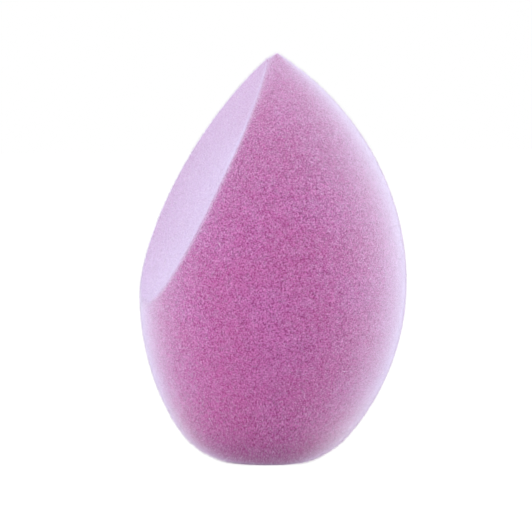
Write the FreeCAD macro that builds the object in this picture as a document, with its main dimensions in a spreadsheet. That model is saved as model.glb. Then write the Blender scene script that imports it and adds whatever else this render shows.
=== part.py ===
import FreeCAD, Part
import math
import os

import Sketcher

# Flocked makeup sponge: a moulded foam teardrop with one slanted cut, standing on a small flat foot.
# Millimetres. +Z is up, the origin is the middle of the foot, the cut faces -X and the tip leans to +X.
# Every piece is modelled upright on the body's own axis, and its Placement then leans it about the foot.

doc = FreeCAD.newDocument("makeup_sponge")

# Driving sizes, in millimetres and degrees

SIZES = {
    "overall_height": 60.0,  # foot to tip, along the axis
    "body_diameter": 39.0,  # of the widest ring
    "widest_height": 25.4,  # of the widest ring above the foot
    "heel_radius": 12.7,  # rounding from the belly to the foot
    "foot_diameter": 10.6,  # flat that the sponge stands on
    "foot_press": 0.3,  # how far that flat presses in the round of the heel
    "lean_angle": 2.4,  # of the axis from upright
    "cut_setback": 1.15,  # axis to cut, level with the tip
    "cut_angle": 33.0,  # of the cut from the axis, level with the tip
    "cut_radius": 168.0,  # long gentle crown of the cut
    "rim_radius": 0.5,  # rounding of the cut's edge
    "pile_length": 0.8,  # of the fibres
    "film_thickness": 0.2,  # of the adhesive under them
}

sizes = doc.addObject("Spreadsheet::Sheet", "sizes")
for row, (alias, size) in enumerate(SIZES.items(), start=1):
    sizes.set(f"A{row}", alias)
    sizes.set(f"B{row}", str(size))
    sizes.setAlias(f"B{row}", alias)
doc.recompute()

# Depths below the outer face at which one layer ends and the next begins

OUTSIDE = "0"
UNDER_PILE = "sizes.pile_length"
UNDER_FILM = "(sizes.pile_length + sizes.film_thickness)"

# The turned outline: an upper arc from the tip to the widest ring, a belly arc below it and a heel arc down
# to the foot. Each is tangent to the next, so a deeper layer has the same centres and smaller radii.

RISE = "(sizes.overall_height - sizes.widest_height)"
UPPER_RADIUS = f"({RISE}^2 + (sizes.body_diameter / 2)^2) / sizes.body_diameter"
HEEL_HEIGHT = "(sizes.heel_radius - sizes.foot_press)"
HEEL_OUT = f"(sizes.foot_diameter / 2 - sqrt(sizes.heel_radius^2 - {HEEL_HEIGHT}^2))"
BELLY_OUT = f"(sizes.body_diameter / 2 - {HEEL_OUT})"
BELLY_DROP = f"(sizes.widest_height - {HEEL_HEIGHT})"
BELLY_RADIUS = (
    f"({BELLY_OUT}^2 + {BELLY_DROP}^2 - sizes.heel_radius^2) / (2 * ({BELLY_OUT} - sizes.heel_radius))"
)

# Leaning lowers the heel on the +X side and raises it on the other, so the flat foot lies off the axis

LOW_HEEL = f"({HEEL_HEIGHT} * cos(sizes.lean_angle) - {HEEL_OUT} * sin(sizes.lean_angle))"
HIGH_HEEL = f"({HEEL_HEIGHT} * cos(sizes.lean_angle) + {HEEL_OUT} * sin(sizes.lean_angle))"
LOW_SPREAD = f"sqrt(sizes.heel_radius^2 - {LOW_HEEL}^2)"
HIGH_SPREAD = f"sqrt(sizes.heel_radius^2 - {HIGH_HEEL}^2)"
FOOT_SHIFT = f"({HEEL_HEIGHT} * sin(sizes.lean_angle) + ({LOW_SPREAD} - {HIGH_SPREAD}) / 2)"

# Far enough to take a trimming sketch clear of the body on every side
REACH = "(sizes.overall_height + sizes.foot_diameter)"

# A sample point this close to a face, in millimetres, lies on it
ON_FACE = 1e-4
EDGE_SAMPLES = 5

# A sketch numbers its own axes down from -1, with its origin as the start of the horizontal one, and the
# points of a line or an arc up from 1
H_AXIS, V_AXIS = range(-1, -3, -1)
ROOT = H_AXIS
START, END, CENTRE = range(1, 4)


def value(formula):
    """The number that a formula of sheet values gives."""
    return float(sizes.evalExpression(formula))


def point(x, y):
    """A point of a sketch."""
    return FreeCAD.Vector(x, y, 0)


def arc(centre, radius, first, last):
    """A short arc of a sketch, counterclockwise from one of its points to another."""
    toward_middle = (first - centre) + (last - centre)
    return Part.Arc(first, centre + toward_middle.normalize() * radius, last)


def new_sketch(body, name):
    """A sketch on the body's upright middle plane, with +X to the right and +Z up."""
    sketch = body.newObject("Sketcher::SketchObject", name)
    plane = next(item for item in body.Origin.OriginFeatures if item.Role == "XZ_Plane")
    sketch.AttachmentSupport = [(plane, "")]
    sketch.MapMode = "FlatFace"
    return sketch


def relate(sketch, kind, *items):
    """A constraint that has no size."""
    sketch.addConstraint(Sketcher.Constraint(kind, *items))


def dimension(sketch, name, kind, *items, formula):
    """A named dimension that follows a formula of sheet values."""
    index = sketch.addConstraint(Sketcher.Constraint(kind, *items, value(formula)))
    sketch.renameConstraint(index, name)
    sketch.setExpression(f"Constraints.{name}", formula)


def outline(body, name, depth):
    """Half of the turned outline, a depth below the outer face, closed along the axis."""
    inset = value(depth)
    body_radius = value("sizes.body_diameter / 2")
    widest_height = value("sizes.widest_height")
    upper_radius = value(UPPER_RADIUS)
    belly_radius = value(BELLY_RADIUS)
    heel_radius = value("sizes.heel_radius")
    upper_centre = point(body_radius - upper_radius, widest_height)
    belly_centre = point(body_radius - belly_radius, widest_height)
    heel_centre = point(value(HEEL_OUT), value(HEEL_HEIGHT))
    tip = point(0, widest_height + math.sqrt((upper_radius - inset) ** 2 - upper_centre.x**2))
    widest = point(body_radius - inset, widest_height)
    heel_top = heel_centre + (heel_centre - belly_centre).normalize() * (heel_radius - inset)
    heel_bottom = heel_centre - point(0, heel_radius - inset)
    axis_bottom = point(0, heel_bottom.y)

    sketch = new_sketch(body, name)
    upper = sketch.addGeometry(arc(upper_centre, upper_radius - inset, widest, tip))
    belly = sketch.addGeometry(arc(belly_centre, belly_radius - inset, heel_top, widest))
    heel = sketch.addGeometry(arc(heel_centre, heel_radius - inset, heel_bottom, heel_top))
    bottom = sketch.addGeometry(Part.LineSegment(axis_bottom, heel_bottom))
    axis = sketch.addGeometry(Part.LineSegment(tip, axis_bottom))

    relate(sketch, "Tangent", upper, START, belly, END)
    relate(sketch, "Tangent", belly, START, heel, END)
    relate(sketch, "Tangent", heel, START, bottom, END)
    relate(sketch, "Coincident", bottom, START, axis, END)
    relate(sketch, "Coincident", axis, START, upper, END)
    relate(sketch, "PointOnObject", axis, START, V_AXIS)
    relate(sketch, "PointOnObject", axis, END, V_AXIS)
    relate(sketch, "Horizontal", upper, CENTRE, belly, CENTRE)
    relate(sketch, "Horizontal", bottom)
    widest_out = f"sizes.body_diameter / 2 - {depth}"
    dimension(sketch, "widest_height", "DistanceY", ROOT, START, upper, CENTRE, formula="sizes.widest_height")
    dimension(sketch, "widest_out", "DistanceX", ROOT, START, upper, START, formula=widest_out)
    dimension(sketch, "upper_radius", "Radius", upper, formula=f"{UPPER_RADIUS} - {depth}")
    dimension(sketch, "heel_out", "DistanceX", ROOT, START, heel, CENTRE, formula=HEEL_OUT)
    dimension(sketch, "heel_height", "DistanceY", ROOT, START, heel, CENTRE, formula=HEEL_HEIGHT)
    dimension(sketch, "heel_radius", "Radius", heel, formula=f"sizes.heel_radius - {depth}")
    return sketch


def turn(body, kind, name, depth):
    """Adds the turned body, or takes it away, a depth below the outer face."""
    sketch = outline(body, f"{name}_outline", depth)
    feature = body.newObject(kind, name)
    feature.Profile = sketch
    feature.ReferenceAxis = (sketch, ["V_Axis"])
    feature.Angle = 360


def trim(body, name, sketch):
    """Cuts a sketch's region out of the body, right through both ways."""
    feature = body.newObject("PartDesign::Pocket", name)
    feature.Profile = sketch
    feature.SideType = "Symmetric"
    feature.Type = "ThroughAll"
    return feature


def trim_at_cut(body, depth, remove):
    """Takes away what lies above the slanted cut, or below it, a depth under its face.

    The sketch's origin is on the cut, level with the tip. Its horizontal points straight out of the cut
    there, and its vertical runs down the cut.
    """
    reach = value(REACH)
    crown = value("sizes.cut_radius")
    radius = crown - value(depth)
    edge = math.sqrt(radius**2 - reach**2) - crown
    far = reach if remove == "above" else -reach

    sketch = new_sketch(body, f"cut_{remove}")
    sketch.setExpression("AttachmentOffset.Base.x", "-sizes.cut_setback")
    sketch.setExpression("AttachmentOffset.Base.y", "sizes.overall_height")
    sketch.setExpression("AttachmentOffset.Rotation.Angle", "180 - sizes.cut_angle")
    face = sketch.addGeometry(arc(point(-crown, 0), radius, point(edge, -reach), point(edge, reach)))
    low_side = sketch.addGeometry(Part.LineSegment(point(edge, reach), point(far, reach)))
    far_side = sketch.addGeometry(Part.LineSegment(point(far, reach), point(far, -reach)))
    high_side = sketch.addGeometry(Part.LineSegment(point(far, -reach), point(edge, -reach)))

    relate(sketch, "Coincident", face, END, low_side, START)
    relate(sketch, "Coincident", low_side, END, far_side, START)
    relate(sketch, "Coincident", far_side, END, high_side, START)
    relate(sketch, "Coincident", high_side, END, face, START)
    relate(sketch, "Horizontal", low_side)
    relate(sketch, "Vertical", far_side)
    relate(sketch, "Horizontal", high_side)
    relate(sketch, "PointOnObject", face, CENTRE, H_AXIS)
    outward = [(ROOT, START), (far_side, START)]
    if remove == "below":
        outward.reverse()
    dimension(sketch, "crown_centre", "DistanceX", face, CENTRE, ROOT, START, formula="sizes.cut_radius")
    dimension(sketch, "crown_radius", "Radius", face, formula=f"sizes.cut_radius - {depth}")
    dimension(sketch, "reach_out", "DistanceX", *outward[0], *outward[1], formula=REACH)
    dimension(sketch, "reach_low", "DistanceY", ROOT, START, far_side, START, formula=REACH)
    dimension(sketch, "reach_high", "DistanceY", far_side, END, ROOT, START, formula=REACH)
    return trim(body, f"{remove}_cut", sketch)


def trim_at_foot(body, depth, remove):
    """Takes away what lies below the foot's plane, or above it, a depth inside it.

    The sketch's horizontal lies in the foot, which is square to the upright once the body leans.
    """
    reach = value(REACH)
    level = value(depth)
    far = reach if remove == "above" else -reach

    sketch = new_sketch(body, f"foot_{remove}")
    sketch.setExpression("AttachmentOffset.Rotation.Angle", "sizes.lean_angle")
    corners = [point(-reach, level), point(reach, level), point(reach, far), point(-reach, far)]
    sides = [
        sketch.addGeometry(Part.LineSegment(first, last))
        for first, last in zip(corners, corners[1:] + corners[:1])
    ]
    foot_side, right_side, far_side, left_side = sides
    for side, following in zip(sides, sides[1:] + sides[:1]):
        relate(sketch, "Coincident", side, END, following, START)
    relate(sketch, "Horizontal", foot_side)
    relate(sketch, "Vertical", right_side)
    relate(sketch, "Horizontal", far_side)
    relate(sketch, "Vertical", left_side)
    dimension(sketch, "reach_right", "DistanceX", ROOT, START, right_side, START, formula=REACH)
    dimension(sketch, "reach_left", "DistanceX", left_side, START, ROOT, START, formula=REACH)
    span = f"{REACH} - {depth}"
    upward = [(ROOT, START), (far_side, START)]
    if remove == "below":
        span = f"{REACH} + {depth}"
        upward.reverse()
    dimension(sketch, "reach_far", "DistanceY", *upward[0], *upward[1], formula=REACH)
    dimension(sketch, "span", "Distance", right_side, formula=span)
    trim(body, f"{remove}_foot", sketch)


def round_cut_edge(body, feature):
    """Rounds the edge where the cut's outer face meets the turned side."""
    doc.recompute()
    crown = value("sizes.cut_radius")
    slope = math.radians(value("sizes.cut_angle"))
    centre_x = crown * math.cos(slope) - value("sizes.cut_setback")
    centre_z = value("sizes.overall_height") - crown * math.sin(slope)

    def off_face(sample):
        return abs(math.hypot(sample.x - centre_x, sample.z - centre_z) - crown)

    rim = [
        f"Edge{number}"
        for number, edge in enumerate(feature.Shape.Edges, start=1)
        if max(off_face(sample) for sample in edge.discretize(EDGE_SAMPLES)) < ON_FACE
    ]
    fillet = body.newObject("PartDesign::Fillet", "rounded_edge")
    fillet.Base = (feature, rim)
    fillet.setExpression("Radius", "sizes.rim_radius")


def new_body(label):
    """An empty piece, leaning to +X, with the middle of the foot brought to the origin."""
    body = doc.addObject("PartDesign::Body", label)
    body.Label = label
    lean = FreeCAD.Rotation(FreeCAD.Vector(0, 1, 0), value("sizes.lean_angle"))
    body.Placement = FreeCAD.Placement(FreeCAD.Vector(), lean)
    body.setExpression("Placement.Base.x", f"-{FOOT_SHIFT}")
    body.setExpression("Placement.Rotation.Angle", "sizes.lean_angle")
    return body


def whole_form(label, depth):
    """The whole sponge, a depth below its outer face: turned, cut and flattened at the foot."""
    body = new_body(label)
    turn(body, "PartDesign::Revolution", "turned", depth)
    trim_at_cut(body, depth, "above")
    trim_at_foot(body, depth, "below")
    return body


def foam_core():
    """Moulded foam, everything under the adhesive film."""
    return whole_form("foam_core", UNDER_FILM)


def adhesive_film(core):
    """The closed skin of adhesive round the foam."""
    film = doc.addObject("Part::Cut", "adhesive_film")
    film.Base = whole_form("film_outside", UNDER_PILE)
    film.Tool = core
    return film


def side_pile():
    """Fibres that stand on the turned side, between the cut's pile and the foot's."""
    body = new_body("side_pile")
    turn(body, "PartDesign::Revolution", "turned", OUTSIDE)
    turn(body, "PartDesign::Groove", "hollow", UNDER_PILE)
    trim_at_cut(body, UNDER_PILE, "above")
    trim_at_foot(body, UNDER_PILE, "below")
    return body


def slant_pile():
    """Fibres that stand on the slanted cut, out to its edge."""
    body = new_body("slant_pile")
    turn(body, "PartDesign::Revolution", "turned", OUTSIDE)
    trim_at_cut(body, UNDER_PILE, "below")
    round_cut_edge(body, trim_at_cut(body, OUTSIDE, "above"))
    return body


def base_pile():
    """Fibres under the foot, pressed flat by what the sponge stands on."""
    body = new_body("base_pile")
    turn(body, "PartDesign::Revolution", "turned", OUTSIDE)
    trim_at_foot(body, OUTSIDE, "below")
    trim_at_foot(body, UNDER_PILE, "above")
    return body


def check(pieces):
    """Stops if a feature failed, a cut took nothing away or a piece isn't one sound solid."""
    for item in doc.Objects:
        if "Invalid" in item.State or "Error" in item.State:
            raise RuntimeError(f"{item.Name} failed: {item.State}")
        if item.isDerivedFrom("PartDesign::Pocket") or item.isDerivedFrom("PartDesign::Groove"):
            if item.Shape.Volume >= item.BaseFeature.Shape.Volume:
                raise RuntimeError(f"{item.Name} cut nothing away")
    for piece in pieces:
        if piece.Shape.isNull() or not piece.Shape.isValid() or len(piece.Shape.Solids) != 1:
            raise RuntimeError(f"{piece.Label} is not one sound solid")


core = foam_core()
pieces = [core, adhesive_film(core), side_pile(), slant_pile(), base_pile()]
doc.recompute()
check(pieces)

os.makedirs("parts", exist_ok=True)
for piece in pieces:
    piece.Shape.exportStep(f"parts/{piece.Label}.step")
    box = piece.Shape.optimalBoundingBox(False, False)
    middle = piece.Shape.Solids[0].CenterOfMass
    print(
        f"{piece.Label}: {piece.Shape.Volume:.1f} mm3, x {box.XMin:.2f} to {box.XMax:.2f},"
        f" z {box.ZMin:.2f} to {box.ZMax:.2f}, middle of mass x {middle.x:.2f}, z {middle.z:.2f}"
    )
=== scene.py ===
# %% [markdown]
# # A flocked makeup sponge, dressed over its CAD layers
#
# The object is a drop of soft moulded foam, about as tall as a thumb is long, with one slanted
# facet on its side. A thin film of glue covers the foam, and a short pile of mauve fibres stands
# on the glue all over. That pile is what we see: a deep mauve where we look straight down
# into the fibres, and a pale lilac sheen where we see them from the side, which is painted into
# the pile's colour.
#
# The imported CAD part comes in first, as a fixed frame. Everything below is worked out in the same
# frame, so that each piece lies where its CAD layer lies.

# %% The imported part
import math

import bpy
import numpy as np
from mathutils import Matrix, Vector


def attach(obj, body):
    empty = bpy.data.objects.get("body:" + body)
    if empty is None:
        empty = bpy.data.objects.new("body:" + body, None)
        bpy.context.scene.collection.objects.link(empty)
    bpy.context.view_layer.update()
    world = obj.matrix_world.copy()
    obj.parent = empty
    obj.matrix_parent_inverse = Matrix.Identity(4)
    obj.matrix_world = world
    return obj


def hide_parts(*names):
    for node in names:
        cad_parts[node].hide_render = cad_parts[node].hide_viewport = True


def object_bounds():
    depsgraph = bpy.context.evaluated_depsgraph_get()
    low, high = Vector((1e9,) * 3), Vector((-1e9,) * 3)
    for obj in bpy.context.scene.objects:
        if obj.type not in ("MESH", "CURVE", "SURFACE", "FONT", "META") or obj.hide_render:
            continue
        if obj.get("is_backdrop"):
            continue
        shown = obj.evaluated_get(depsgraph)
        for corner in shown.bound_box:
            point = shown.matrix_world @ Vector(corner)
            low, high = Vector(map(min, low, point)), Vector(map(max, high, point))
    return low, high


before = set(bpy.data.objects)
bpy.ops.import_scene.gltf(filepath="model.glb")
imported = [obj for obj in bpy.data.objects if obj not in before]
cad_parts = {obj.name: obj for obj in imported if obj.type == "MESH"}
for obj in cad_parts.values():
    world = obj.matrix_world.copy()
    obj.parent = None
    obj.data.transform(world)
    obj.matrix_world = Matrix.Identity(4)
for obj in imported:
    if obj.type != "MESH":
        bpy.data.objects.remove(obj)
cad_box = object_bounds()
print("layers of the part:", ", ".join(sorted(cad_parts)))

# %% [markdown]
# ## The photographer's view
#
# The camera comes before any piece, so that every later picture can be laid beside the
# photograph. A long lens from well back keeps the drop's outline almost parallel. We stand a
# little to the facet's side of the front and a little above the middle of the drop.

# %% Camera
MM = 0.001
IMAGE_WIDTH = 532
PIXELS_PER_MM = 6.859
VIEW_DISTANCE = 700.0
VIEW_AZIMUTH = math.radians(-18.0)
VIEW_ELEVATION = math.radians(3.0)
AIM_HEIGHT = 30.0
AIM_LEFT = 0.18
AIM_DOWN = 1.17

back = Vector(
    (
        math.sin(VIEW_AZIMUTH) * math.cos(VIEW_ELEVATION),
        -math.cos(VIEW_AZIMUTH) * math.cos(VIEW_ELEVATION),
        math.sin(VIEW_ELEVATION),
    )
)
right = Vector((math.cos(VIEW_AZIMUTH), math.sin(VIEW_AZIMUTH), 0.0))
aim = Vector((0.0, 0.0, AIM_HEIGHT)) - AIM_LEFT * right - AIM_DOWN * back.cross(right)

lens = bpy.data.cameras.new("view_lens")
lens.lens = lens.sensor_width * VIEW_DISTANCE * PIXELS_PER_MM / IMAGE_WIDTH
camera = bpy.data.objects.new("view", lens)
camera.location = (aim + VIEW_DISTANCE * back) * MM
camera.rotation_euler = back.to_track_quat("Z", "Y").to_euler()
bpy.context.scene.collection.objects.link(camera)
bpy.context.scene.camera = camera
bpy.context.scene.view_settings.view_transform = "Standard"
print(f"lens {lens.lens:.1f} mm at {VIEW_DISTANCE:.0f} mm")

# %% [markdown]
# ## Shader maths as plain Python
#
# A finish is a small graph of nodes. Wiring it by hand hides the formula, so one class wraps a
# socket: plus, minus and times add Math nodes, and one method makes any other node. Its
# settings go in first, because some of them decide which sockets the node has.


# %% The socket class
class Thread:
    """One output socket of a material's nodes, with Python's operators for Math nodes."""

    def __init__(self, tree, socket=None):
        self.tree = tree
        self.socket = socket

    def make(self, kind, settings, sockets, out=0):
        """Adds a node: its settings first, then a value or a link for each socket named."""
        node = self.tree.nodes.new("ShaderNode" + kind)
        for name, value in settings.items():
            setattr(node, name, value)
        for name, value in sockets.items():
            if isinstance(value, Thread):
                self.tree.links.new(value.socket, node.inputs[name])
            else:
                node.inputs[name].default_value = value
        return Thread(self.tree, node.outputs[out]) if node.outputs else node

    def maths(self, operation, first, second, clamp=False):
        settings = {"operation": operation, "use_clamp": clamp}
        return self.make("Math", settings, {0: first, 1: second})

    def __add__(self, other):
        return self.maths("ADD", self, other)

    def __sub__(self, other):
        return self.maths("SUBTRACT", self, other)

    def __rsub__(self, other):
        return self.maths("SUBTRACT", other, self)

    def __mul__(self, other):
        return self.maths("MULTIPLY", self, other)

    __radd__ = __add__
    __rmul__ = __mul__


def colour(red, green, blue):
    """A colour as a paint program gives it, 0 to 255, turned to the linear light that nodes use:
    c / 12.92 below 0.04045, and ((c + 0.055) / 1.055) to the power 2.4 above it."""
    levels = np.array([red, green, blue]) / 255.0
    linear = np.where(levels <= 0.04045, levels / 12.92, ((levels + 0.055) / 1.055) ** 2.4)
    return (*(float(level) for level in linear), 1.0)


def new_finish(name):
    """An empty material and the Thread that its nodes are made from."""
    material = bpy.data.materials.new(name)
    material.use_nodes = True
    material.node_tree.nodes.clear()
    return material, Thread(material.node_tree)


def mix(factor, first, second):
    """The first colour at factor 0 and the second at factor 1."""
    return factor.make("Mix", {"data_type": "RGBA"}, {0: factor, 6: first, 7: second}, out=2)


def noise(start, place, scale, detail, roughness):
    """Blender's noise about 0.5, as a value. The scale is in grains per metre."""
    sockets = {"Vector": place, "Scale": scale, "Detail": detail, "Roughness": roughness}
    return start.make("TexNoise", {}, sockets)


def contrast(value, low, high):
    """Stretches low..high to 0..1 and holds it there."""
    spread = 1.0 / (high - low)
    return value.maths("MULTIPLY", value - low, spread, clamp=True)


print("mauve in linear light:", [round(level, 3) for level in colour(193, 112, 172)])

# %% [markdown]
# ## A white table and soft light
#
# The photograph is a white cut-out, so the floor and the world are white to the camera. The
# floor is a light table: it still takes the sponge's soft shadow, because part of what the camera
# sees of it is lit paint, and it glows a little from below, which keeps the heel clear. For the
# object itself the world is an even sky. Four large lamps give it form, and a fifth lights its back.

# %% Floor, world and lamps
SKY = 0.665
FLOOR_SIDE = 3.0
FLOOR_PAINT = colour(223, 222, 226)
FLOOR_GLOW = 0.88
UNDER_GLOW = 0.24
GLOW_LEVEL = 1.12


def seen_directly(start):
    """1 for a ray from the camera, a mirror or glass, and 0 for light that falls on things."""
    rays = [start.make("LightPath", {}, {}, out=f"Is {kind} Ray") for kind in ("Camera", "Glossy")]
    through = start.make("LightPath", {}, {}, out="Is Transmission Ray")
    return start.maths("ADD", rays[0] + rays[1], through, clamp=True)


white, start = new_finish("white_table")
paint = start.make("BsdfDiffuse", {}, {"Color": FLOOR_PAINT})
glow = start.make("Emission", {}, {"Color": (1.0, 1.0, 1.0, 1.0), "Strength": GLOW_LEVEL})
glowing = seen_directly(start) * (FLOOR_GLOW - UNDER_GLOW) + UNDER_GLOW
shown = start.make("MixShader", {}, {0: glowing, 1: paint, 2: glow})
start.make("OutputMaterial", {}, {"Surface": shown})

corners = np.array([[-1, -1, 0], [1, -1, 0], [1, 1, 0], [-1, 1, 0]]) * FLOOR_SIDE / 2
sheet = bpy.data.meshes.new("floor")
sheet.from_pydata(corners.tolist(), [], [(0, 1, 2, 3)])
sheet.materials.append(white)
floor = bpy.data.objects.new("floor", sheet)
bpy.context.scene.collection.objects.link(floor)
floor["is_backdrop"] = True

world = bpy.data.worlds.new("white_studio")
world.use_nodes = True
world.node_tree.nodes.clear()
start = Thread(world.node_tree)
level = seen_directly(start) * (1.0 - SKY) + SKY
sky = start.make("Background", {}, {"Color": (1.0, 1.0, 1.0, 1.0), "Strength": level})
start.make("OutputWorld", {}, {"Surface": sky})
bpy.context.scene.world = world


def lamp(name, place, size, power):
    """A square lamp at a place in metres, facing the middle of the drop."""
    light = bpy.data.lights.new(name, "AREA")
    light.size = size
    light.energy = power
    holder = bpy.data.objects.new(name, light)
    holder.location = place
    way = Vector(place) - Vector((0.0, 0.0, AIM_HEIGHT * MM))
    holder.rotation_euler = way.to_track_quat("Z", "Y").to_euler()
    bpy.context.scene.collection.objects.link(holder)


lamp("front_lamp", (0.31, -0.90, 0.45), 0.5, 1.4)
lamp("upper_lamp", (0.45, -0.35, 0.95), 0.5, 1.75)
lamp("right_lamp", (0.72, -0.35, 0.17), 0.32, 2.1)
lamp("left_lamp", (-0.72, -0.14, 0.17), 0.32, 2.85)
lamp("back_lamp", (0.30, 0.85, 0.40), 0.5, 1.8)
print("lamps and sky set")

# %% [markdown]
# ## One formula for every layer
#
# Foam, film and pile are skins of one form, each a little deeper than the last. The form is a
# turned drop: its half section is three arcs, and each point of it is found from the
# direction in which the surface faces there. A deeper layer keeps the arcs' centres and loses its
# depth from their radii. The facet is a very large cylinder lying on its side, bulging a little.
# The real sponge leans, and its axis bows slightly, as a soft moulding does.

# %% Sizes of the drop, in millimetres
HEIGHT = 60.0
RADIUS = 19.5
WIDEST = 25.4
HEEL_RADIUS = 12.7
FOOT_RADIUS = 5.3
FOOT_PRESS = 0.3
LEAN = math.radians(2.4)
BOW = 0.85
CUT_SETBACK = 1.15
CUT_ANGLE = math.radians(33.0)
CUT_RADIUS = 168.0
FACET_SWELL = 0.27
SWELL_HEIGHT = 30.0
SWELL_REACH = 22.6
EDGE_ROUND_TOP = 1.2
EDGE_ROUND_LOW = 3.0
PILE_LENGTH = 0.8
FILM_THICKNESS = 0.2

heel_height = HEEL_RADIUS - FOOT_PRESS
heel_out = FOOT_RADIUS - math.sqrt(HEEL_RADIUS**2 - heel_height**2)
upper_radius = ((HEIGHT - WIDEST) ** 2 + RADIUS**2) / (2 * RADIUS)
belly_out = RADIUS - heel_out
belly_drop = WIDEST - heel_height
belly_radius = (belly_out**2 + belly_drop**2 - HEEL_RADIUS**2) / (2 * (belly_out - HEEL_RADIUS))
heel_turn = -math.atan2(belly_drop, heel_out - RADIUS + belly_radius)
foot_turn = -math.asin(heel_height / HEEL_RADIUS)
cut_x = CUT_RADIUS * math.cos(CUT_ANGLE) - CUT_SETBACK
cut_z = HEIGHT - CUT_RADIUS * math.sin(CUT_ANGLE)


def heel_spread(side):
    """Half a chord: how far the leaning heel's circle on one side reaches along the floor."""
    level = heel_height * math.cos(LEAN) + side * heel_out * math.sin(LEAN)
    return math.sqrt(HEEL_RADIUS**2 - level**2)


foot_shift = heel_height * math.sin(LEAN) + (heel_spread(-1) - heel_spread(1)) / 2
print(f"arcs of {upper_radius:.2f}, {belly_radius:.2f} and {HEEL_RADIUS:.2f} mm")


# %% The half section, the facet and the stance
def section(turn, depth):
    """How far out and how high the half section is where its outward normal is tilted up by turn:
    the arc's centre plus (radius - depth) times the cosine and the sine of turn."""
    upper = turn >= 0
    belly = turn >= heel_turn
    radius = np.where(upper, upper_radius, np.where(belly, belly_radius, HEEL_RADIUS)) - depth
    heart = np.where(upper, RADIUS - upper_radius, np.where(belly, RADIUS - belly_radius, heel_out))
    middle = np.where(belly, WIDEST, heel_height)
    return heart + radius * np.cos(turn), middle + radius * np.sin(turn)


def swell(level):
    """How far the soft facet stands out from its cylinder: most at SWELL_HEIGHT, by FACET_SWELL, and
    less by the square of the distance from there, so that it sinks a little at the tip."""
    return FACET_SWELL * (1 - ((level - SWELL_HEIGHT) / SWELL_REACH) ** 2)


def facet(level, depth):
    """The facet's x at a height: the cylinder's centre less the half chord of its radius, which is
    less by the depth and more by the swell."""
    return cut_x - np.sqrt((CUT_RADIUS - depth + swell(level)) ** 2 - (level - cut_z) ** 2)


def stand(points, floor_level):
    """Leans the drop by a turn about Y, moves its foot to the origin, bows it and presses it flat:
    x = x cos a + z sin a - shift + 4 bow q (1 - q), where q is the share of the height that
    z cos a - x sin a has reached, and z is that height or the floor level, whichever is more."""
    across, along, up = np.moveaxis(points, -1, 0)
    level = up * math.cos(LEAN) - across * math.sin(LEAN)
    share = np.clip(level / HEIGHT, 0.0, 1.0)
    shifted = across * math.cos(LEAN) + up * math.sin(LEAN) - foot_shift
    bowed = shifted + 4 * BOW * share * (1 - share)
    return np.stack([bowed, along, np.maximum(level, floor_level)], axis=-1) * MM


print(f"the facet lies at x {facet(WIDEST, 0.0):.2f} mm on the widest level")

# %% [markdown]
# ### Rows and columns
#
# A grid of rows and columns covers each skin. Most rows lie where the facet cuts the side, and the
# columns crowd together towards the facet's edge, where the shape turns fastest.

# %% Rows and columns
TIP_ROWS = 10
CUT_ROWS = 96
LOW_ROWS = 40
ROUND = 320
ACROSS = 96
FOOT_ROWS = 16
SEARCH_STEPS = 40001
CROWDED = 0.6


def joined_rows(turns, radii, count):
    """Turns at even steps along arcs that follow each other: the length runs as radius times turn."""
    run = np.concatenate([[0.0], np.cumsum(-np.diff(turns) * radii)])
    return np.interp(np.linspace(0.0, run[-1], count + 1), run, turns)


def columns(count):
    """Steps from -1 to 1 that crowd together at both ends: part even, part the sine of even turns."""
    even = np.linspace(-1.0, 1.0, count + 1)
    return (1 - CROWDED) * even + CROWDED * np.sin(even * math.pi / 2)


def side_rows(depth):
    """The side's rows from tip to foot: each row's turn, and how far round from +X it reaches.
    Where the facet cuts a row, it reaches to the angle whose cosine is facet x / distance out."""
    tip_turn = math.acos((upper_radius - RADIUS) / (upper_radius - depth))
    search = np.linspace(tip_turn, heel_turn, SEARCH_STEPS)
    out, level = section(search, depth)
    first, last = np.flatnonzero(out + facet(level, depth) > 0)[[0, -1]]
    ease = (1 - np.cos(np.linspace(0.0, math.pi, CUT_ROWS + 1))) / 2
    above = np.linspace(tip_turn, search[first], TIP_ROWS + 1)
    beside = search[first] + ease * (search[last] - search[first])
    turns = [search[last], heel_turn, foot_turn]
    below = joined_rows(turns, [belly_radius, HEEL_RADIUS], LOW_ROWS)
    turn = np.concatenate([above[:-1], beside, below[1:]])
    out, level = section(turn, depth)
    reach = np.full(turn.shape, math.pi)
    open_rows = slice(TIP_ROWS + 1, TIP_ROWS + CUT_ROWS)
    ratio = facet(level[open_rows], depth) / out[open_rows]
    reach[open_rows] = np.arccos(np.clip(ratio, -1.0, 1.0))
    return turn, reach


print("side rows:", TIP_ROWS + CUT_ROWS + LOW_ROWS, "of", ROUND, "steps round")

# %% [markdown]
# ### A soft edge
#
# Where two skins meet in a sharp line, the piece looks like hard plastic. Cut foam under a pile has
# a soft edge, so the points near the line sink by about what an arc would take off. A Bevel modifier
# could round it too, but the layers have to stay nested, and one formula for all depths keeps them so.

# %% The rounded edge
HALF_COSINES = (0.05, 0.999)


def beyond_edge(places, field):
    """The facing of the field on the other side of the facet's edge, and how deep that field's skin
    lies: for the side it is the facet's cylinder, and for the facet the turned side's arc."""
    if field == "side":
        ways = (places - np.array([cut_x, 0.0, cut_z])) * np.array([1.0, 0.0, 1.0])
        deep = CUT_RADIUS + swell(places[..., 2]) - np.linalg.norm(ways, axis=-1)
    else:
        out = np.hypot(places[..., 0], places[..., 1])
        radius = np.where(places[..., 2] >= WIDEST, upper_radius, belly_radius)
        level = places[..., 2] - WIDEST
        flat = (out - RADIUS + radius) / out
        ways = np.stack([places[..., 0] * flat, places[..., 1] * flat, level], axis=-1)
        deep = radius - np.linalg.norm(ways, axis=-1)
    return ways / np.linalg.norm(ways, axis=-1, keepdims=True), deep


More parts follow.
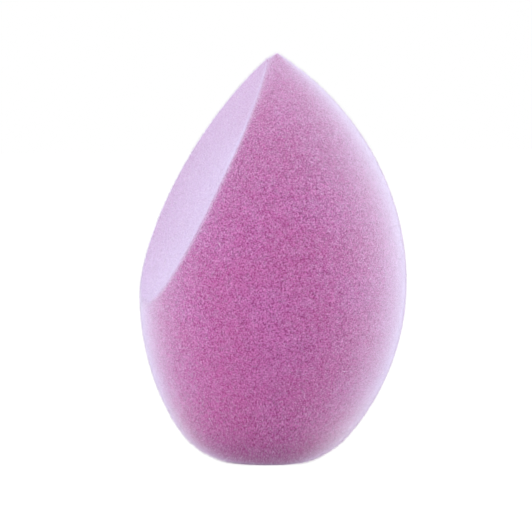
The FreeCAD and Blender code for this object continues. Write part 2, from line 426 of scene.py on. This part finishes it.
def eased(places, facing, field, depth):
    """Rounds the facet's edge: points near it sink along the middle of the two facings m by
    r (1 / c - 1) (1 - s / t) squared, where c is the cosine of half the angle between them, held
    within HALF_COSINES, t is that half angle's tangent times r, and s is the distance from the edge,
    which is the other skin's depth over the sine of the whole angle. The radius r shrinks from the
    widest level to the tip, where the edge is crisper."""
    beyond, deep = beyond_edge(places, field)
    middle = facing + beyond
    length = np.linalg.norm(middle, axis=-1, keepdims=True)
    middle = middle / length
    half = np.arccos(np.clip(length[..., 0] / 2, *HALF_COSINES))
    apart = np.maximum(deep - depth, 0.0) / np.sin(2 * half)
    radius = np.interp(places[..., 2], [WIDEST, HEIGHT], [EDGE_ROUND_LOW, EDGE_ROUND_TOP])
    near = np.clip(1 - apart / (radius * np.tan(half)), 0.0, 1.0)
    sunk = radius * (1 / np.cos(half) - 1) * near**2
    return places - middle * sunk[..., None]


print(f"edge radius {EDGE_ROUND_TOP} mm at the tip to {EDGE_ROUND_LOW} mm")


# %% The three skins
def side_skin(depth):
    """The turned side: out cos p, out sin p and the height, p running over each row's reach."""
    turn, reach = side_rows(depth)
    out, level = (row[:, None] for row in section(turn, depth))
    angle = reach[:, None] * columns(ROUND)
    turn = turn[:, None] + 0 * angle
    places = np.stack([out * np.cos(angle), out * np.sin(angle), level + 0 * angle], axis=-1)
    facing = np.stack(
        [np.cos(turn) * np.cos(angle), np.cos(turn) * np.sin(angle), np.sin(turn)], axis=-1
    )
    return eased(places, facing, "side", depth), facing


def slant_skin(depth):
    """The facet: each row lies straight across, between the side's two ends at that height."""
    turn, reach = (row[TIP_ROWS : TIP_ROWS + CUT_ROWS + 1] for row in side_rows(depth))
    out, level = (row[:, None] for row in section(turn, depth))
    along = out * np.sin(reach[:, None]) * columns(ACROSS)[::-1]
    level = level + 0 * along
    across = out * np.cos(reach[:, None]) + 0 * along
    places = np.stack([across, along, level], axis=-1)
    facing = np.stack([across - cut_x, 0 * along, level - cut_z], axis=-1)
    facing /= np.linalg.norm(facing, axis=-1, keepdims=True)
    return eased(places, facing, "slant", depth), facing


def foot_skin(depth):
    """The foot: the heel's arc runs on until it faces down, then a flat disc closes it."""
    turn = np.linspace(foot_turn, -math.pi / 2, FOOT_ROWS // 2 + 1)
    out, level = section(turn, depth)
    out = np.concatenate([out, np.linspace(out[-1], 0.0, FOOT_ROWS // 2 + 1)[1:]])[:, None]
    level = np.concatenate([level, np.full(FOOT_ROWS // 2, level[-1])])[:, None]
    angle = math.pi * columns(ROUND)[None, :]
    places = np.stack([out * np.cos(angle), out * np.sin(angle), level + 0 * angle], axis=-1)
    facing = np.zeros_like(places)
    facing[..., 2] = -1.0
    return places, facing


print("facet rows:", CUT_ROWS, "of", ACROSS, "steps, foot rows:", FOOT_ROWS)

# %% [markdown]
# ### From grids to meshes
#
# The skins are arrays of points, and Blender wants points and triangles. Grids that share an edge
# are welded by their places, two skins become a closed wall, and foreach_set hands over whole
# arrays, which is far quicker than a loop over points.

# %% Grids to meshes
WELD_STEPS_PER_MM = 1e4


def coarse(skin):
    """Every second column of a skin, which is fine enough for the layers under the pile."""
    return tuple(grid[:, ::2] for grid in skin)


def triangles_of(shape, offset):
    """Two triangles for each cell of a grid, numbered row by row from an offset."""
    number = offset + np.arange(shape[0] * shape[1]).reshape(shape[:2])
    a, b, c, d = number[:-1, :-1], number[1:, :-1], number[1:, 1:], number[:-1, 1:]
    return np.stack([np.stack([a, b, c], -1), np.stack([a, c, d], -1)]).reshape(-1, 3)


def welded(skins):
    """Joins grids into one skin: points that share a place get one number, so seams and poles
    close, and triangles that this leaves without an area go."""
    places = np.concatenate([skin[0].reshape(-1, 3) for skin in skins])
    facing = np.concatenate([skin[1].reshape(-1, 3) for skin in skins])
    sizes = [skin[0].shape[0] * skin[0].shape[1] for skin in skins]
    offsets = np.concatenate([[0], np.cumsum(sizes)[:-1]])
    cells = [triangles_of(skin[0].shape, offset) for skin, offset in zip(skins, offsets)]
    keys = np.round(places * WELD_STEPS_PER_MM).astype(np.int64)
    _, first, number = np.unique(keys, axis=0, return_index=True, return_inverse=True)
    triangles = number.ravel()[np.concatenate(cells)]
    a, b, c = triangles.T
    triangles = triangles[(a != b) & (b != c) & (c != a)]
    return places[first], facing[first], triangles, first


def walled(outer, inner, triangles):
    """A closed solid between two skins with the same triangles: the inner skin is turned over,
    and a wall of two triangles stands on each edge that only one triangle has."""
    count = len(outer)
    start_of = triangles.ravel()
    end_of = np.roll(triangles, -1, axis=1).ravel()
    free = ~np.isin(start_of * count + end_of, end_of * count + start_of)
    a, b = start_of[free], end_of[free]
    walls = np.concatenate([np.stack([b, a, a + count], -1), np.stack([b, a + count, b + count], -1)])
    faces = np.concatenate([triangles, triangles[:, ::-1] + count, walls])
    return np.concatenate([outer, inner]), faces


print("points closer than", 1 / WELD_STEPS_PER_MM, "mm are welded")


# %% Pieces and what is noted on them
def new_piece(name, places, faces, material):
    """A mesh object at the origin from arrays of points in metres and of triangles."""
    mesh = bpy.data.meshes.new(name)
    mesh.vertices.add(len(places))
    mesh.vertices.foreach_set("co", places.astype(np.float32).ravel())
    mesh.loops.add(faces.size)
    mesh.loops.foreach_set("vertex_index", faces.astype(np.int32).ravel())
    mesh.polygons.add(len(faces))
    mesh.polygons.foreach_set("loop_start", np.arange(0, faces.size, 3, dtype=np.int32))
    mesh.update(calc_edges=True)
    mesh.validate()
    mesh.shade_smooth()
    mesh.materials.append(material)
    piece = bpy.data.objects.new(name, mesh)
    bpy.context.scene.collection.objects.link(piece)
    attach(piece, "root")
    print(f"{name}: {len(mesh.polygons)} triangles")
    return piece


def note(piece, name, values):
    """Keeps one number or one vector for each point on the mesh, for the materials to read."""
    kind, key = ("FLOAT_VECTOR", "vector") if values.ndim == 2 else ("FLOAT", "value")
    attribute = piece.data.attributes.new(name, kind, "POINT")
    attribute.data.foreach_set(key, values.astype(np.float32).ravel())


print("every piece made here rides on the body root")

# %% A smooth random field
RIPPLE_WAVES = 18
RIPPLE_SPREAD = (0.7, 1.4)


def ripple(places, length, rng):
    """A smooth random field of about unit size: the sum of cosine waves in random directions,
    with wavelengths about the length given, over the root of half their number."""
    ways = rng.normal(size=(3, RIPPLE_WAVES))
    lengths = np.linalg.norm(ways, axis=0) * length * rng.uniform(*RIPPLE_SPREAD, RIPPLE_WAVES)
    ways *= 2 * math.pi / lengths
    phases = rng.uniform(0.0, 2 * math.pi, RIPPLE_WAVES)
    return np.cos(places @ ways + phases).sum(axis=-1) / math.sqrt(RIPPLE_WAVES / 2)


print("ripples of", RIPPLE_WAVES, "waves")

# %% [markdown]
# ## The foam core
#
# The heart of the sponge is open-celled foam, soft enough to squeeze between two fingers. It is
# moulded, so its shape comes from the mould and no cloth simulation is needed: the closed
# skin of the form is used as it is, with fine pits sunk into it where cells are cut open. Its
# colour is painted darker in the middle of each pore, which is painted shade.

# %% Foam
CELL_WIDTH = 1.1
CELL_DEPTH = 0.05
CELL_DEEPEST = 1.5
CELL_SEED = 11
PORES_PER_METRE = 1600.0
CLOUDS_PER_METRE = 240.0
BUMP_DEPTH = 0.0001

foam, start = new_finish("core_foam")
place = start.make("TexCoord", {}, {}, out="Object")
sockets = {"Vector": place, "Scale": PORES_PER_METRE}
pores = start.make("TexVoronoi", {"feature": "F1"}, sockets, out="Distance")
cloud = noise(start, place, CLOUDS_PER_METRE, 3.0, 0.55)
pale = mix(cloud, colour(226, 176, 205), colour(240, 205, 226))
# Painted shade: the middle of each pore, where its bump sinks, takes the darker mauve.
tone = mix(contrast(pores, 0.05, 0.55), colour(196, 132, 170), pale)
pits = start.make("Bump", {}, {"Strength": 0.5, "Distance": BUMP_DEPTH, "Height": pores})
sockets = {
    "Base Color": tone,
    "Roughness": cloud * 0.2 + 0.75,
    "Normal": pits,
    "Specular IOR Level": 0.25,
}
shader = start.make("BsdfPrincipled", {}, sockets)
start.make("OutputMaterial", {}, {"Surface": shader})

CORE_DEPTH = PILE_LENGTH + FILM_THICKNESS
rng = np.random.default_rng(CELL_SEED)
core_skins = [coarse(skin(CORE_DEPTH)) for skin in (side_skin, slant_skin, foot_skin)]
places, facing, triangles, _ = welded(core_skins)
open_cells = np.clip(ripple(places, CELL_WIDTH, rng), 0.0, CELL_DEEPEST)
places = places - facing * (CELL_DEPTH * open_cells)[:, None]
core = new_piece("foam_core_body", stand(places, CORE_DEPTH), triangles, foam)
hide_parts("foam_core")

# %% [markdown]
# ## The glue film
#
# Flock is shot into wet glue. Once dry, the glue is a thin rubbery skin all round the foam. It
# is one closed wall: a skin at the pile's depth outside, and one at the foam's depth inside.

# %% Film
SMEARS_PER_METRE = 420.0

glue, start = new_finish("flock_adhesive")
place = start.make("TexCoord", {}, {}, out="Object")
smear = noise(start, place, SMEARS_PER_METRE, 4.0, 0.6)
tone = mix(smear, colour(168, 82, 136), colour(190, 108, 160))
ridges = start.make("Bump", {}, {"Strength": 0.25, "Distance": BUMP_DEPTH, "Height": smear})
sockets = {"Base Color": tone, "Roughness": smear * 0.3 + 0.35, "Normal": ridges}
shader = start.make("BsdfPrincipled", {}, sockets)
start.make("OutputMaterial", {}, {"Surface": shader})

film_skins = [coarse(skin(PILE_LENGTH)) for skin in (side_skin, slant_skin, foot_skin)]
outer, _, triangles, first = welded(film_skins)
inner = np.concatenate([skin[0].reshape(-1, 3) for skin in core_skins])[first]
places, faces = walled(stand(outer, PILE_LENGTH), stand(inner, CORE_DEPTH), triangles)
film = new_piece("adhesive_film_skin", places, faces, glue)
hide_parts("adhesive_film")

# %% [markdown]
# ## The pile
#
# Flock is a crowd of short fibres standing on end. Up close it has two parts: the dense
# ground near the glue, where the fibres' feet crowd together and the colour is deep, and the free
# ends above it, which catch the light and are painted a pale lilac as their sheen. We build both.
# The ground is a thin closed wall for each of the three fields, and the free ends are slender
# three-sided spikes, a few hundred thousand of them, leaning this way and that in tufts.
#
# Velvet and suede are pale where we see the fibres' sides and deep where we look along them, and
# a nap, the way the fibres lean, shifts that balance. Here the pile was brushed a little up and
# to the right. On the ground that paleness is a painted sheen: its material asks Layer Weight how
# far the leaning fibres turn away from us and blends its colour from mauve to lilac by that. A
# constant lilac sheen on the same shader stays with the model wherever it is used. The grain is
# noise about a quarter of a millimetre wide that follows the surface. Tufts a millimetre wide stand
# a little paler or redder, and wide redder patches lie under it all. The heel is painted darker as
# shade, the tip paler as painted light, and the painted sheen on the facet is a cooler lilac.

# %% Ground finishes
GRAIN_DEEP = colour(116, 32, 100)
GRAIN_PALE = colour(216, 135, 201)
PATCH_MAUVE = colour(168, 64, 118)
RED_MAUVE = colour(180, 62, 126)
PAINTED_HEEL_SHADE = colour(70, 18, 58)
PAINTED_TIP_LIGHT = colour(255, 160, 232)
LILAC_SHEEN = colour(236, 220, 255)
PAINTED_SHEEN_SIDE = colour(235, 234, 255)
PAINTED_SHEEN_CUT = colour(229, 225, 255)
PAINTED_SHEEN_HEEL = colour(251, 247, 255)
GRAINS_PER_METRE = 4200.0
TUFTS_PER_METRE = 1000.0
PATCHES_PER_METRE = 130.0
PATCH_LEAST = 0.08
PATCH_MORE = 0.15
PAINTED_SHEEN_FULL = 0.9
PAINTED_SHEEN_CURVE = 2.0
PAINTED_SHEEN_GRAIN = 0.1
MOTTLE_MIDDLE = 0.35
PAINTED_SHEEN_MOTTLE = 0.055
MOTTLE_RED = 0.10
LOW_RED = 0.10
RED_FULL = 0.008
RED_END = 0.026
HEEL_FULL = 0.0024
HEEL_TOP = 0.012
HEEL_SHADE_SHARE = 0.2
TIP_FROM = 0.046
TIP_FULL = 0.058
TIP_LIGHT_SHARE = 0.11


def pile_shader(start, tone, roughness):
    """Soft fibre: rough, hardly glossy, with a lilac sheen that is the same all over."""
    sockets = {
        "Base Color": tone,
        "Roughness": roughness,
        "Specular IOR Level": 0.15,
        "Sheen Weight": 1.0,
        "Sheen Roughness": 0.3,
        "Sheen Tint": LILAC_SHEEN,
    }
    shader = start.make("BsdfPrincipled", {}, sockets)
    start.make("OutputMaterial", {}, {"Surface": shader})


def pile_grain(start):
    """Fine grain about a quarter of a millimetre wide, from 0 in the gaps to 1 on the tufts, on the
    pieces' own "lie" attribute, so that it follows the surface round the heel."""
    lie = start.make("Attribute", {"attribute_name": "lie"}, {}, out="Vector")
    return contrast(noise(start, lie, GRAINS_PER_METRE, 2.0, 0.7), 0.325, 0.675)


def height_share(start, low, high):
    """0 up to a low height and 1 from a high one, both in metres."""
    place = start.make("TexCoord", {}, {}, out="Object")
    up = start.make("SeparateXYZ", {}, {"Vector": place}, out="Z")
    return contrast(up, low, high)


def heel_share(start):
    """1 up to HEEL_FULL and 0 from HEEL_TOP upwards."""
    return 1 - height_share(start, HEEL_FULL, HEEL_TOP)


def ground_finish(name, painted_sheen_tone):
    """The dense ground of the pile. The grain blends two mauves, and shares of other mauves follow:
    one for the patches, a red one for the tufts and the lower half, a dark one by the cube of the
    heel's share, which is painted shade, and a pale one at the tip, which is painted light. The
    painted sheen is the power PAINTED_SHEEN_CURVE of how far the leaning fibres turn away, a little
    more or less by tuft, and blends all that to a lilac that is paler at the heel."""
    finish, start = new_finish(name)
    place = start.make("TexCoord", {}, {}, out="Object")
    grain = pile_grain(start)
    patch = contrast(noise(start, place, PATCHES_PER_METRE, 2.0, 0.5), 0.35, 0.65)
    tone = mix(grain, GRAIN_DEEP, GRAIN_PALE)
    tone = mix(patch * PATCH_MORE + PATCH_LEAST, tone, PATCH_MAUVE)
    mottle = contrast(noise(start, place, TUFTS_PER_METRE, 2.0, 0.6), 0.35, 0.65)
    above = height_share(start, RED_FULL, RED_END)
    tone = mix((1 - mottle) * MOTTLE_RED + (1 - above) * LOW_RED, tone, RED_MAUVE)
    low = heel_share(start)
    # Painted shade: the ground darkens to a deep mauve towards the foot.
    tone = mix(low * low * low * HEEL_SHADE_SHARE, tone, PAINTED_HEEL_SHADE)
    # Painted light: the ground turns paler towards the tip, where more light falls from above.
    tone = mix(height_share(start, TIP_FROM, TIP_FULL) * TIP_LIGHT_SHARE, tone, PAINTED_TIP_LIGHT)
    upright = start.make("NewGeometry", {}, {}, out="Normal")
    brushed = start.make("Attribute", {"attribute_name": "nap"}, {}, out="Vector")
    leaning = start.make("VectorMath", {"operation": "ADD"}, {0: upright, 1: brushed})
    leaning = start.make("VectorMath", {"operation": "NORMALIZE"}, {0: leaning})
    turned_away = start.make("LayerWeight", {}, {"Blend": 0.5, "Normal": leaning}, out="Facing")
    # Painted sheen: the base colour blends to lilac as the leaning fibres turn away from us.
    rising = contrast(turned_away + (grain - 0.5) * PAINTED_SHEEN_GRAIN, 0.0, PAINTED_SHEEN_FULL)
    painted_sheen = start.maths("POWER", rising, PAINTED_SHEEN_CURVE)
    painted_sheen = start.maths("ADD", painted_sheen, (mottle - MOTTLE_MIDDLE) * PAINTED_SHEEN_MOTTLE, clamp=True)
    lilac = mix(low, painted_sheen_tone, PAINTED_SHEEN_HEEL)
    pile_shader(start, mix(painted_sheen, tone, lilac), grain * 0.1 + 0.75)
    return finish


round_finish = ground_finish("pile_ground", PAINTED_SHEEN_SIDE)
cut_finish = ground_finish("pile_ground_cut", PAINTED_SHEEN_CUT)
print("ground finishes:", round_finish.name, "and", cut_finish.name)

# %% Fibre finish
ROOT_SHADE_SHARE = 0.5

fibre_finish, start = new_finish("pile_fibres")
grain = pile_grain(start)
lift = start.make("Attribute", {"attribute_name": "lift"}, {}, out="Fac")
# Painted sheen: the free ends are a near-white lilac that stands in for their sheen, and a little
# darker at the root, which is painted shade.
root = mix(grain, colour(232, 214, 246), colour(240, 232, 252))
tip = mix(grain, colour(248, 241, 254), colour(255, 251, 255))
# Painted shade: the fibres' roots turn a deeper mauve towards the foot.
shaded_root = mix(grain, colour(176, 92, 156), colour(214, 150, 204))
root = mix(heel_share(start) * ROOT_SHADE_SHARE, root, shaded_root)
free_end = mix(lift, root, tip)
pile_shader(start, free_end, grain * 0.1 + 0.75)
print("fibre finish:", fibre_finish.name)

# %% [markdown]
# ### The nap and the lie of the grain
#
# Brushing gives a pile its nap: at each point the fibres lean by a small vector. The ground keeps
# it as an attribute for its material, where it steers the painted sheen, and it turns the free ends
# too. The grain has an attribute of its own. Noise in plain space would smear where the heel curls
# under, so the lower half is unrolled first, like peel that is laid flat.

# %% Nap and grain
GROUND_DEPTH = 0.15
NAP_RIGHT = 0.10
NAP_UP = 0.20
HEEL_NAP = 0.47
HEEL_RIGHT = 0.08
HEEL_REACH = 24.0
FOOT_FADE = 0.2
FOOT_NAP = 0.42
FOOT_LEFT = 0.10
FOOT_REACH = 5.0
TIP_FADE = 44.0
COMBED = 0.15
COMB_FULL = 45.0
COMB_END = 51.0
FACET_LEAN = 0.05
LOW_LEAN = -0.01
LOW_FULL = 25.0
LOW_END = 33.0
TIP_LEAN = 0.10
FAN_WIDTH = 0.3
RIDGE_COMB = 0.9
RIDGE_SPILL = 0.5
RIDGE_FROM = 40.0
RIDGE_FULL = 48.0
LONG_FROM = 16.0
LONG_GRAIN = 0.5
UPWARD = np.array([0.0, 0.0, 1.0])


def near_crest(places, field):
    """1 on the facet's edge, falling off by the FAN_WIDTH over the depth below the other skin, and
    the facing of the field beyond the edge."""
    if field == "base":
        return np.zeros(len(places)), np.zeros_like(places)
    beyond, deep = beyond_edge(places, field)
    return np.exp(-np.maximum(deep - GROUND_DEPTH, 0.0) / FAN_WIDTH), beyond


def nap_at(spots, field):
    """How far the fibres lean for each unit of height: up and to the right, more so on the heel, and
    at the foot still more up but less to the right. They don't lean up at the very tip and floor. On
    the facet they also lean to the front, except low down, and towards its middle, in step with the
    distance from it. Along the upper part of the facet's front edge they lean back from it. On the
    ground this lean only moves the painted sheen, and that edge shows as a pale line of painted sheen."""
    level = spots[:, 2]
    heel = np.clip(1 - level / HEEL_REACH, 0.0, 1.0)[:, None] ** 2
    lean = NAP_RIGHT * np.array(right) + NAP_UP * UPWARD
    lean = lean + heel * (HEEL_RIGHT * np.array(right) + HEEL_NAP * UPWARD)
    foot = np.clip(1 - level / FOOT_REACH, 0.0, 1.0)[:, None]
    lean = lean + foot * (FOOT_NAP * UPWARD - FOOT_LEFT * np.array(right))
    lean[:, 2] *= np.interp(level, [0.0, FOOT_FADE, TIP_FADE, HEIGHT], [0.0, 1.0, 1.0, 0.0])
    nearness, beyond = near_crest(spots, field)
    front_edge = np.where(spots[:, 1] < 0, nearness, 0.0)
    if field == "slant":
        low, high = spots.min(axis=0), spots.max(axis=0)
        combed = np.interp(level, [COMB_FULL, COMB_END], [COMBED, 0.0])[:, None]
        lean += combed * (low + high - 2 * spots) / (high - low).max()
        leans = [LOW_LEAN, FACET_LEAN, FACET_LEAN, TIP_LEAN]
        lean[:, 1] -= np.interp(level, [LOW_FULL, LOW_END, COMB_FULL, COMB_END], leans)
        ridge = np.interp(level, [RIDGE_FROM, RIDGE_FULL], [0.0, RIDGE_COMB])
        lean -= (ridge * front_edge)[:, None] * beyond
    if field == "side":
        ridge = np.interp(level, [RIDGE_FROM, RIDGE_FULL], [0.0, RIDGE_SPILL])
        lean += (ridge * front_edge)[:, None] * beyond
    return lean


def lie_of(spots, field):
    """Places for the grain, in metres. The side's lower half is unrolled: the angle stays, the distance
    out becomes the mean of its own and the widest, and the height becomes the run along the section,
    radius times turn on each arc. Past LONG_FROM the run counts only by LONG_GRAIN, because the pile
    there lies flat and its fibres show lengthwise."""
    if field != "side":
        return spots * MM
    out = (RADIUS - GROUND_DEPTH + np.hypot(spots[:, 0], spots[:, 1])) / 2
    level = spots[:, 2]
    belly = np.arcsin(np.clip((level - WIDEST) / (belly_radius - GROUND_DEPTH), -1.0, 0.0))
    heel = np.arcsin(np.clip((level - heel_height) / (HEEL_RADIUS - GROUND_DEPTH), -1.0, 1.0))
    run = belly_radius * np.maximum(belly, heel_turn) + HEEL_RADIUS * np.minimum(heel - heel_turn, 0.0)
    run = np.maximum(run, LONG_GRAIN * (run + LONG_FROM) - LONG_FROM)
    angle = np.arctan2(spots[:, 1], spots[:, 0])
    unrolled = np.stack([out * np.cos(angle), out * np.sin(angle), WIDEST + run], axis=-1)
    return np.where(level[:, None] < WIDEST, unrolled, spots) * MM


print(f"nap {NAP_UP} up and {NAP_RIGHT} to the right")

# %% [markdown]
# ### The dense ground
#
# Each of the three fields is a closed wall, from a little below the fibres' ends down to the glue, so
# no gap opens between the fibres. Its points carry both attributes.

# %% Pile ground
FOOT_GAP = 0.05

fields = {"side": side_skin, "slant": slant_skin, "base": foot_skin}
grounds = {}
for field, skin in fields.items():
    outer, facing, triangles, first = welded([skin(GROUND_DEPTH)])
    inner = skin(PILE_LENGTH)[0].reshape(-1, 3)[first]
    grounds[field] = (outer, facing, triangles)
    places, faces = walled(stand(outer, FOOT_GAP), stand(inner, PILE_LENGTH), triangles)
    finish = cut_finish if field == "slant" else round_finish
    ground = new_piece(f"{field}_pile_ground", places, faces, finish)
    note(ground, "nap", np.tile(nap_at(outer, field), (2, 1)))
    note(ground, "lie", np.tile(lie_of(outer, field), (2, 1)))
    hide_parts(f"{field}_pile")

# %% [markdown]
# ### The free ends
#
# Blender's hair would be the usual tool for fibres, but it is drawn as strands and is lost when the
# model is exported. So each free end is a tiny closed mesh of its own, with three corners at the
# root and one at the tip. We scatter the roots over the ground, lean each fibre by the nap, its tuft
# and chance, and deal them out to pieces of a size that other programs can open.

# %% Spikes on a skin
CELL_MARGIN = 0.1


def scattered(ground, count, rng, crowd=0.0):
    """Random points on a skin: triangles drawn by area, more of them where crowd, a number for each
    triangle, is above 0 and fewer where it is below, then an even random point in each."""
    places, facing, triangles = ground
    a, b, c = (places[triangles[:, corner]] for corner in range(3))
    share = np.linalg.norm(np.cross(b - a, c - a), axis=1) * (1.0 + crowd)
    chosen = triangles[np.searchsorted(np.cumsum(share), rng.random(count) * share.sum())]
    first, second = rng.random((2, count, 1))
    fold = first + second > 1
    first, second = np.where(fold, 1 - first, first), np.where(fold, 1 - second, second)
    weights = np.stack([1 - first - second, first, second])
    spots = sum(weights[corner] * places[chosen[:, corner]] for corner in range(3))
    ways = sum(weights[corner] * facing[chosen[:, corner]] for corner in range(3))
    return spots, ways / np.linalg.norm(ways, axis=1, keepdims=True)


def spikes(roots, tips, radius, rng):
    """Three-sided spikes: each has three root corners, a third of a turn apart round the fibre,
    at root + r (cos t u + sin t v), where u and v stand square to it, and one tip."""
    along = tips - roots
    along /= np.linalg.norm(along, axis=1, keepdims=True)
    u = np.cross(along, rng.normal(size=along.shape))
    u /= np.linalg.norm(u, axis=1, keepdims=True)
    v = np.cross(along, u)
    thirds = [2 * math.pi * third / 3 for third in range(3)]
    corners = [roots + radius * (math.cos(t) * u + math.sin(t) * v) for t in thirds]
    places = np.stack([*corners, tips], axis=1).reshape(-1, 3)
    pattern = np.array([[0, 2, 1], [0, 1, 3], [1, 2, 3], [2, 0, 3]])
    faces = 4 * np.arange(len(roots))[:, None, None] + pattern
    return places, faces.reshape(-1, 3)


def bake_cells(piece, count):
    """A UV map with a square cell for each fibre: its three sides stand in it side by side, roots
    down and tips up, and its root face lies between two of them."""
    side = math.ceil(math.sqrt(count))
    cell = np.stack([np.arange(count) % side, np.arange(count) // side], -1)[:, None, :]
    root = [(0.36, 0.9), (0.48, 0.5), (0.60, 0.9)]
    strips = [[(k / 3, 0.0), ((k + 1) / 3, 0.0), ((k + 0.5) / 3, 1.0)] for k in range(3)]
    pattern = np.array([root, *strips]).reshape(-1, 2) * (1 - 2 * CELL_MARGIN) + CELL_MARGIN
    layer = piece.data.uv_layers.new(name="OFBake")
    layer.data.foreach_set("uv", ((cell + pattern) / side).astype(np.float32).ravel())


print("four triangles for each fibre")

# %% Which way the fibres grow
FIBRE_SCATTER = 0.12
TUFT_LEAN = 0.14
TUFT_LENGTH = 0.7
APEX_WIDTH = 0.8


def near_tip(places):
    """1 on the axis at the tip, falling off by the APEX_WIDTH over the distance from the axis."""
    to_axis = np.hypot(places[:, 0], places[:, 1])
    return (places[:, 2] > WIDEST) * np.exp(-to_axis / APEX_WIDTH)


def fibre_ways(spots, ways, field, rng):
    """Which way each fibre grows: the skin's facing, fanned out over the facet's edge and the tip,
    then leaned by the nap, by the tuft it stands in and by chance, all along the skin."""
    nearness, beyond = near_crest(spots, field)
    ways = ways + nearness[:, None] * beyond
    ways[:, 2] += near_tip(spots)
    ways /= np.linalg.norm(ways, axis=1, keepdims=True)
    lean = nap_at(spots, field) + FIBRE_SCATTER * rng.normal(size=spots.shape)
    lean = lean + TUFT_LEAN * np.stack([ripple(spots, TUFT_LENGTH, rng) for _ in range(3)], -1)
    return ways + lean - ways * (lean * ways).sum(axis=1, keepdims=True)


print("tufts about", TUFT_LENGTH, "mm wide")

# %% Planting
FREE_LENGTH = 0.21
FIBRES_PER_MM2 = 55.0
FIBRE_RADIUS = 0.010
RADIUS_SPREAD = (0.7, 1.3)
TIP_SCATTER = 0.2
CREST_CROWD = 0.3
CREST_TUFT = 0.7
APEX_TUFT = 1.0
HEEL_TUFT = 0.8
HEEL_THIN = 0.6
HEEL_END = 14.0
LOOSE_SHARE = 0.00015
LOOSE_LENGTH = 0.9
LOOSE_LIFT = 0.2
LOOSE_RADIUS = 0.04
ROOT_SINK = 0.06
PIECE_FIBRES = 48000
FIBRE_SEED = 31


def plant(field, rng):
    """Free ends for one field, in pieces of at most PIECE_FIBRES, dealt out round the drop. They are
    longer at the tip, on the facet's edge and towards the foot, where they stand apart. A few have
    come loose and lie flat on the others."""
    places, _, triangles = grounds[field]
    a, b, c = (places[triangles[:, corner]] for corner in range(3))
    area = np.linalg.norm(np.cross(b - a, c - a), axis=1).sum() / 2
    middles = (a + b + c) / 3
    crowd = CREST_CROWD * near_crest(middles, field)[0]
    crowd = crowd - HEEL_THIN * np.clip(1 - middles[:, 2] / HEEL_END, 0.0, 1.0)
    count = int(area * FIBRES_PER_MM2)
    spots, ways = scattered(grounds[field], count, rng, crowd)
    longer = APEX_TUFT * near_tip(spots) + CREST_TUFT * near_crest(spots, field)[0]
    longer = longer + HEEL_TUFT * np.clip(1 - spots[:, 2] / HEEL_END, 0.0, 1.0)
    reach = FREE_LENGTH * (1 + longer)[:, None]
    reach = reach * (1 + TIP_SCATTER * rng.normal(size=(count, 1)))
    grown = reach * fibre_ways(spots, ways, field, rng)
    radius = FIBRE_RADIUS * rng.uniform(*RADIUS_SPREAD, (count, 1))
    loose = rng.random((count, 1)) < LOOSE_SHARE
    flat = np.cross(ways, rng.normal(size=ways.shape))
    flat *= LOOSE_LENGTH / np.linalg.norm(flat, axis=1, keepdims=True)
    tips = stand(spots + np.where(loose, flat + LOOSE_LIFT * ways, grown), 0.0)
    roots = stand(spots + np.where(loose, LOOSE_LIFT, -ROOT_SINK) * ways, GROUND_DEPTH + ROOT_SINK)
    radius = np.where(loose, LOOSE_RADIUS, radius) * MM
    lift = np.concatenate([np.repeat(loose, 3, axis=1), np.ones((count, 1))], axis=1)
    order = np.argsort(np.arctan2(spots[:, 1], spots[:, 0]), kind="stable")
    for part, chosen in enumerate(np.array_split(order, math.ceil(count / PIECE_FIBRES))):
        places, faces = spikes(roots[chosen], tips[chosen], radius[chosen], rng)
        piece = new_piece(f"{field}_pile_fibres_{part + 1}", places, faces, fibre_finish)
        note(piece, "lift", lift[chosen].ravel())
        note(piece, "lie", np.repeat(lie_of(spots[chosen], field), 4, axis=0))
        bake_cells(piece, len(chosen))
        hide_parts(f"{field}_pile")


rng = np.random.default_rng(FIBRE_SEED)
for field in fields:
    plant(field, rng)

# %% Boxes and finish
boxes = {"cad": cad_box, "visual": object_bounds()}
rounded = {name: [list(corner) for corner in box] for name, box in boxes.items()}
for name, box in rounded.items():
    print(name, [[round(1000 * value, 2) for value in corner] for corner in box])
